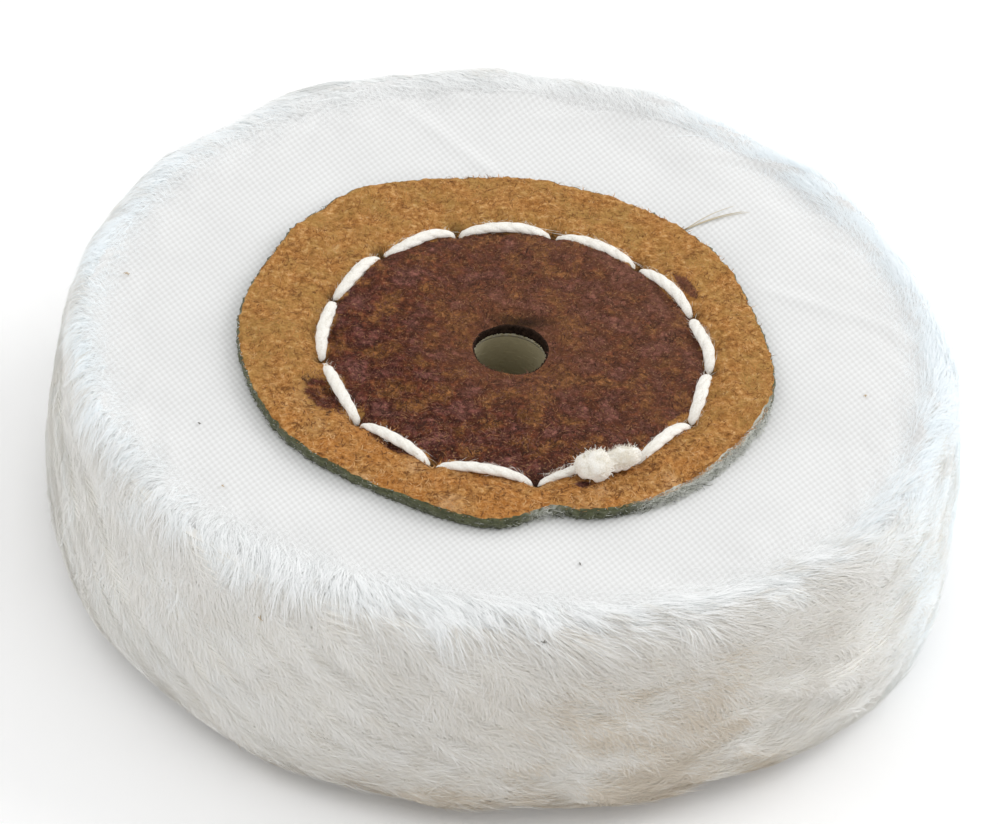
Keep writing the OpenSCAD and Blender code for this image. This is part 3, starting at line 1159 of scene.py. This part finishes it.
def stray_fibre():
    """The pale tuft that lies on the top cloth, from under the leather's edge outwards."""
    rng = seeded(95)
    t = np.linspace(0, 1, 12)
    curves = []
    for k in range(5):
        a = np.array([14.3, 20.4]) + rng.normal(0, 0.08, 2)
        b = np.array([19.9 - 0.4 * (k % 3), 23.7 + 0.5 * (k == 2)]) + rng.normal(0, 0.12, 2)
        bend = 0.35 * np.sin(np.pi * t) + rng.normal(0, 0.2) * t
        q = a + (b - a) * t[:, None] + bend[:, None] * [-0.17, 0.35]
        z = PACK_TOP + face_relief(q[:, 0], q[:, 1]) + 0.08 + 0.12 * np.sin(np.pi * t)
        curves.append(np.column_stack([q, z]))
    width = rng.uniform(0.03, 0.06, len(curves))
    picks = np.zeros(len(curves), int)
    obj = strands("upper_leather.stray_fibre", np.array(curves), width, STRAY, picks)


# Angle in degrees, way over the rim, size, and shade of each speck.
LINT_SPOTS = [
    (-73.4, -6.8, 0.5, 0),
    (-152, -5.6, 0.35, 0),
    (-117.9, 6.1, 0.6, 1),
    (-81.5, 2.7, 0.5, 0),
    (-0.3, -4.3, 0.4, 1),
    (-137, -3.2, 0.4, 1),
    (171, -1.3, 0.6, 1),
]


def build_lint():
    """A few specks of dirt and straw caught in the cloth and the plush."""
    rng = seeded(97)
    curves, picks = [], []
    for at, s, size, kind in LINT_SPOTS:
        for _ in range(3):
            turn = rng.uniform(0, np.pi)
            t = math.radians(at) + np.linspace(-0.5, 0.5, 3) * size * math.cos(turn) / RIM_R
            q = s + np.linspace(-0.5, 0.5, 3) * size * math.sin(turn)
            h = swell(t, q) + np.array([0.05, 0.14, 0.1]) + 0.1 * smooth(q, -2, 2)
            curves.append(plush_point(t, q, h))
            picks.append(kind)
    width = np.full(len(picks), 0.035)
    obj = strands("cloth_ply_50.lint", np.array(curves), width, LINT, np.array(picks))


# ---- Studio: camera, floor and light
def place(obj, x, y, z, at):
    """Puts an object at a point in metres, with its own axes along x, y and z."""
    m = np.eye(4)
    m[:3, 0], m[:3, 1], m[:3, 2], m[:3, 3] = x, y, z, at
    obj.matrix_world = Matrix(m.tolist())
    bpy.context.scene.collection.objects.link(obj)


def build_camera():
    elevation, roll, distance = math.radians(40.07), math.radians(6.41), 800.0
    forward = np.array([0, math.cos(elevation), -math.sin(elevation)])
    right = np.array([1.0, 0, 0])
    up = np.array([0, math.sin(elevation), math.cos(elevation)])
    x = math.cos(roll) * right + math.sin(roll) * up
    y = -math.sin(roll) * right + math.cos(roll) * up
    target = np.array([-0.31, 3.73, -0.75])
    data = bpy.data.cameras.new("camera")
    data.sensor_width, data.lens = 36, 9009 * 36 / 1000
    data.clip_start, data.clip_end = 0.05, 10
    cam = bpy.data.objects.new("camera", data)
    place(cam, x, y, -forward, (target - forward * distance) * MM)
    bpy.context.scene.camera = cam


def build_floor():
    size, z = 2.5, (FLOOR_Z - 0.02) * MM
    corners = [(-size, -size, z), (size, -size, z), (size, size, z), (-size, size, z)]
    floor = bpy.data.meshes.new("floor")
    floor.from_pydata(corners, [], [(0, 1, 2, 3)])
    floor.materials.append(new_material("paper", 0.9, 0.1, (0.98, 0.98, 0.98, 1))[0])
    ground = bpy.data.objects.new("floor", floor)
    bpy.context.scene.collection.objects.link(ground)


def build_light():
    scene = bpy.context.scene
    scene.world = bpy.data.worlds.new("studio")
    scene.world.use_nodes = True
    sky = scene.world.node_tree.nodes["Background"].inputs
    sky["Color"].default_value = (1.0, 1.0, 1.0, 1)
    sky["Strength"].default_value = 0.91
    for name, at, wide, watts in (
        ("key", (0.83, 0.46, 0.53), 0.8, 5.0),
        ("fill", (-0.75, -0.1, 0.7), 0.7, 1.15),
    ):
        lamp = bpy.data.lights.new(name, "AREA")
        lamp.shape, lamp.size, lamp.energy = "DISK", wide, watts
        z = unit(np.array(at))
        x = unit(np.cross([0, 0, 1.0], z))
        place(bpy.data.objects.new(name, lamp), x, np.cross(z, x), z, at)
    scene.view_settings.view_transform = "Standard"
    scene.cycles.max_bounces = 16
    scene.cycles.diffuse_bounces = 12


build_camera()
build_floor()
build_light()
build_plies()
build_sewing()
build_knot()
for node, side, spin, seed in (("upper_leather", 1, 0, 81), ("lower_leather", -1, 115, 91)):
    leather_disc(node, side, spin, seed)
    leather_nap(node, side, spin, seed + 3)
stray_fibre()
build_lint()
